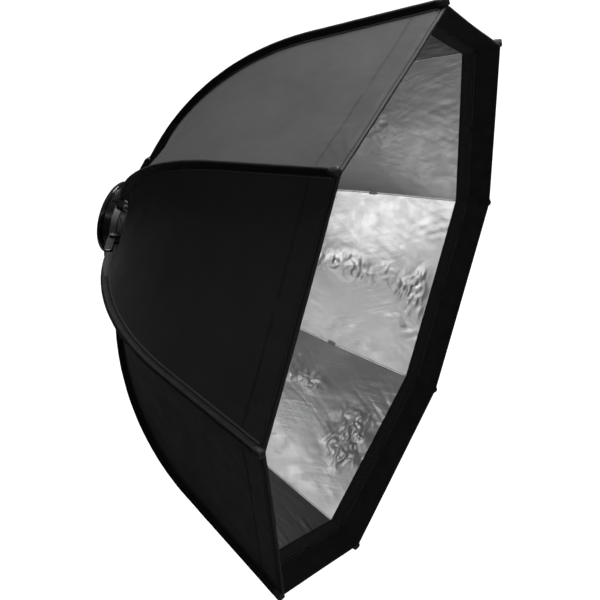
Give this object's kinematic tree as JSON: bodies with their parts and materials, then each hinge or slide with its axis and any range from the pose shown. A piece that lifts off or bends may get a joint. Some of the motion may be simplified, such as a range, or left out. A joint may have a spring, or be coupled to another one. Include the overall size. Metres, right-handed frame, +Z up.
{
  "type": "octabox",
  "caption": "Eight-sided folding softbox: black cloth canopy with a silver lining on bowed rods, hinged to a turning speedring on a round head adapter.",
  "frame": {"origin": "centre of the lamp head bore on the adapter's rear face", "axes": "+X along the optical axis towards the open front, +Z up with one side of the octagon level at the top, +Y to the left seen from the front-facing user behind the box"},
  "size_m": [0.4825, 0.8528, 0.8528],
  "materials": {
    "gloss_black": "gloss black barrel",
    "liner_rubber": "matte rubber",
    "matte_ring": "satin, finely turned",
    "zinc_ring": "satin",
    "bright_steel": "bright",
    "cast_black": "black powder coat on cast metal",
    "nylon_bush": "natural nylon",
    "moulded_black": "polished moulded black",
    "collar_black": "satin black anodised",
    "sleeve_cloth": "black woven polyester",
    "rod_fibreglass": "black fibreglass",
    "canopy_cloth": "black woven cloth with a crinkled silver lining"
  },
  "bodies": {
    "adapter": {"adapter_tube": "gloss_black", "head_liner": "liner_rubber", "grip_ring": "matte_ring", "retaining_ring": "zinc_ring", "retaining_screws": "bright_steel"},
    "speedring": {"speedring_body": "cast_black", "slide_bush": "nylon_bush", "hinge_pins": "bright_steel", "cover_ring": "moulded_black", "cover_screws": "bright_steel", "cloth_binding": "sleeve_cloth"},
    "collar": {"lock_collar": "collar_black", "collar_tab": "moulded_black"},
    "arm_1": {"rod_arm_1": "moulded_black", "rod_1": "rod_fibreglass", "rod_sleeve_1": "sleeve_cloth"},
    "panel_1a": {"half_panel_1a": "canopy_cloth"},
    "panel_1b": {"half_panel_1b": "canopy_cloth"},
    "arm_2": {"rod_arm_2": "moulded_black", "rod_2": "rod_fibreglass", "rod_sleeve_2": "sleeve_cloth"},
    "panel_2a": {"half_panel_2a": "canopy_cloth"},
    "panel_2b": {"half_panel_2b": "canopy_cloth"},
    "arm_3": {"rod_arm_3": "moulded_black", "rod_3": "rod_fibreglass", "rod_sleeve_3": "sleeve_cloth"},
    "panel_3a": {"half_panel_3a": "canopy_cloth"},
    "panel_3b": {"half_panel_3b": "canopy_cloth"},
    "arm_4": {"rod_arm_4": "moulded_black", "rod_4": "rod_fibreglass", "rod_sleeve_4": "sleeve_cloth"},
    "panel_4a": {"half_panel_4a": "canopy_cloth"},
    "panel_4b": {"half_panel_4b": "canopy_cloth"},
    "arm_5": {"rod_arm_5": "moulded_black", "rod_5": "rod_fibreglass", "rod_sleeve_5": "sleeve_cloth"},
    "panel_5a": {"half_panel_5a": "canopy_cloth"},
    "panel_5b": {"half_panel_5b": "canopy_cloth"},
    "arm_6": {"rod_arm_6": "moulded_black", "rod_6": "rod_fibreglass", "rod_sleeve_6": "sleeve_cloth"},
    "panel_6a": {"half_panel_6a": "canopy_cloth"},
    "panel_6b": {"half_panel_6b": "canopy_cloth"},
    "arm_7": {"rod_arm_7": "moulded_black", "rod_7": "rod_fibreglass", "rod_sleeve_7": "sleeve_cloth"},
    "panel_7a": {"half_panel_7a": "canopy_cloth"},
    "panel_7b": {"half_panel_7b": "canopy_cloth"},
    "arm_8": {"rod_arm_8": "moulded_black", "rod_8": "rod_fibreglass", "rod_sleeve_8": "sleeve_cloth"},
    "panel_8a": {"half_panel_8a": "canopy_cloth"},
    "panel_8b": {"half_panel_8b": "canopy_cloth"}
  },
  "joints": [
    {"name": "ring_turn", "type": "hinge", "parent": "adapter", "child": "speedring", "pos_m": [0.044, 0, 0], "axis": [1, 0, 0], "continuous": true},
    {"name": "collar_turn", "type": "hinge", "parent": "speedring", "child": "collar", "pos_m": [0.041, 0, 0], "axis": [1, 0, 0], "range_deg": [0, 14]},
    {"name": "fold_1", "type": "hinge", "parent": "speedring", "child": "arm_1", "pos_m": [0.0355, 0.02652, 0.06402], "axis": [0, 0.9239, -0.3827], "range_deg": [0, 36]},
    {"name": "pleat_1a", "type": "hinge", "parent": "arm_1", "child": "panel_1a", "pos_m": [-0.02583, 0.54929, -0.01614], "axis": [-0.4263, -0.7524, -0.5022], "range_deg": [0, 16.69], "deforming": ["half_panel_1a"]},
    {"name": "pleat_1b", "type": "hinge", "parent": "arm_1", "child": "panel_1b", "pos_m": [-0.02583, -0.39981, 0.37699], "axis": [0.4263, -0.1769, 0.8871], "range_deg": [0, 16.69], "deforming": ["half_panel_1b"]},
    {"name": "fold_2", "type": "hinge", "parent": "speedring", "child": "arm_2", "pos_m": [0.0355, 0.06402, 0.02652], "axis": [0, 0.3827, -0.9239], "range_deg": [0, 36]},
    {"name": "pleat_2a", "type": "hinge", "parent": "arm_2", "child": "panel_2a", "pos_m": [-0.02583, 0.37699, -0.39981], "axis": [-0.4263, -0.8871, 0.1769], "range_deg": [0, 16.69], "deforming": ["half_panel_2a"]},
    {"name": "pleat_2b", "type": "hinge", "parent": "arm_2", "child": "panel_2b", "pos_m": [-0.02583, -0.01614, 0.54929], "axis": [0.4263, 0.5022, 0.7524], "range_deg": [0, 16.69], "deforming": ["half_panel_2b"]},
    {"name": "fold_3", "type": "hinge", "parent": "speedring", "child": "arm_3", "pos_m": [0.0355, 0.06402, -0.02652], "axis": [0, -0.3827, -0.9239], "range_deg": [0, 36]},
    {"name": "pleat_3a", "type": "hinge", "parent": "arm_3", "child": "panel_3a", "pos_m": [-0.02583, -0.01614, -0.54929], "axis": [-0.4263, -0.5022, 0.7524], "range_deg": [0, 16.69], "deforming": ["half_panel_3a"]},
    {"name": "pleat_3b", "type": "hinge", "parent": "arm_3", "child": "panel_3b", "pos_m": [-0.02583, 0.37699, 0.39981], "axis": [0.4263, 0.8871, 0.1769], "range_deg": [0, 16.69], "deforming": ["half_panel_3b"]},
    {"name": "fold_4", "type": "hinge", "parent": "speedring", "child": "arm_4", "pos_m": [0.0355, 0.02652, -0.06402], "axis": [0, -0.9239, -0.3827], "range_deg": [0, 36]},
    {"name": "pleat_4a", "type": "hinge", "parent": "arm_4", "child": "panel_4a", "pos_m": [-0.02583, -0.39981, -0.37699], "axis": [-0.4263, 0.1769, 0.8871], "range_deg": [0, 16.69], "deforming": ["half_panel_4a"]},
    {"name": "pleat_4b", "type": "hinge", "parent": "arm_4", "child": "panel_4b", "pos_m": [-0.02583, 0.54929, 0.01614], "axis": [0.4263, 0.7524, -0.5022], "range_deg": [0, 16.69], "deforming": ["half_panel_4b"]},
    {"name": "fold_5", "type": "hinge", "parent": "speedring", "child": "arm_5", "pos_m": [0.0355, -0.02652, -0.06402], "axis": [0, -0.9239, 0.3827], "range_deg": [0, 36]},
    {"name": "pleat_5a", "type": "hinge", "parent": "arm_5", "child": "panel_5a", "pos_m": [-0.02583, -0.54929, 0.01614], "axis": [-0.4263, 0.7524, 0.5022], "range_deg": [0, 16.69], "deforming": ["half_panel_5a"]},
    {"name": "pleat_5b", "type": "hinge", "parent": "arm_5", "child": "panel_5b", "pos_m": [-0.02583, 0.39981, -0.37699], "axis": [0.4263, 0.1769, -0.8871], "range_deg": [0, 16.69], "deforming": ["half_panel_5b"]},
    {"name": "fold_6", "type": "hinge", "parent": "speedring", "child": "arm_6", "pos_m": [0.0355, -0.06402, -0.02652], "axis": [0, -0.3827, 0.9239], "range_deg": [0, 36]},
    {"name": "pleat_6a", "type": "hinge", "parent": "arm_6", "child": "panel_6a", "pos_m": [-0.02583, -0.37699, 0.39981], "axis": [-0.4263, 0.8871, -0.1769], "range_deg": [0, 16.69], "deforming": ["half_panel_6a"]},
    {"name": "pleat_6b", "type": "hinge", "parent": "arm_6", "child": "panel_6b", "pos_m": [-0.02583, 0.01614, -0.54929], "axis": [0.4263, -0.5022, -0.7524], "range_deg": [0, 16.69], "deforming": ["half_panel_6b"]},
    {"name": "fold_7", "type": "hinge", "parent": "speedring", "child": "arm_7", "pos_m": [0.0355, -0.06402, 0.02652], "axis": [0, 0.3827, 0.9239], "range_deg": [0, 36]},
    {"name": "pleat_7a", "type": "hinge", "parent": "arm_7", "child": "panel_7a", "pos_m": [-0.02583, 0.01614, 0.54929], "axis": [-0.4263, 0.5022, -0.7524], "range_deg": [0, 16.69], "deforming": ["half_panel_7a"]},
    {"name": "pleat_7b", "type": "hinge", "parent": "arm_7", "child": "panel_7b", "pos_m": [-0.02583, -0.37699, -0.39981], "axis": [0.4263, -0.8871, -0.1769], "range_deg": [0, 16.69], "deforming": ["half_panel_7b"]},
    {"name": "fold_8", "type": "hinge", "parent": "speedring", "child": "arm_8", "pos_m": [0.0355, -0.02652, 0.06402], "axis": [0, 0.9239, 0.3827], "range_deg": [0, 36]},
    {"name": "pleat_8a", "type": "hinge", "parent": "arm_8", "child": "panel_8a", "pos_m": [-0.02583, 0.39981, 0.37699], "axis": [-0.4263, -0.1769, -0.8871], "range_deg": [0, 16.69], "deforming": ["half_panel_8a"]},
    {"name": "pleat_8b", "type": "hinge", "parent": "arm_8", "child": "panel_8b", "pos_m": [-0.02583, -0.54929, -0.01614], "axis": [0.4263, -0.7524, 0.5022], "range_deg": [0, 16.69], "deforming": ["half_panel_8b"]}
  ],
  "couplings": [
    {"joint": "pleat_1a", "follows": "fold_1", "ratio": 0.46306},
    {"joint": "pleat_1b", "follows": "fold_1", "ratio": 0.46306},
    {"joint": "fold_2", "follows": "fold_1", "ratio": 1},
    {"joint": "pleat_2a", "follows": "fold_1", "ratio": 0.46306},
    {"joint": "pleat_2b", "follows": "fold_1", "ratio": 0.46306},
    {"joint": "fold_3", "follows": "fold_1", "ratio": 1},
    {"joint": "pleat_3a", "follows": "fold_1", "ratio": 0.46306},
    {"joint": "pleat_3b", "follows": "fold_1", "ratio": 0.46306},
    {"joint": "fold_4", "follows": "fold_1", "ratio": 1},
    {"joint": "pleat_4a", "follows": "fold_1", "ratio": 0.46306},
    {"joint": "pleat_4b", "follows": "fold_1", "ratio": 0.46306},
    {"joint": "fold_5", "follows": "fold_1", "ratio": 1},
    {"joint": "pleat_5a", "follows": "fold_1", "ratio": 0.46306},
    {"joint": "pleat_5b", "follows": "fold_1", "ratio": 0.46306},
    {"joint": "fold_6", "follows": "fold_1", "ratio": 1},
    {"joint": "pleat_6a", "follows": "fold_1", "ratio": 0.46306},
    {"joint": "pleat_6b", "follows": "fold_1", "ratio": 0.46306},
    {"joint": "fold_7", "follows": "fold_1", "ratio": 1},
    {"joint": "pleat_7a", "follows": "fold_1", "ratio": 0.46306},
    {"joint": "pleat_7b", "follows": "fold_1", "ratio": 0.46306},
    {"joint": "fold_8", "follows": "fold_1", "ratio": 1},
    {"joint": "pleat_8a", "follows": "fold_1", "ratio": 0.46306},
    {"joint": "pleat_8b", "follows": "fold_1", "ratio": 0.46306}
  ]
}
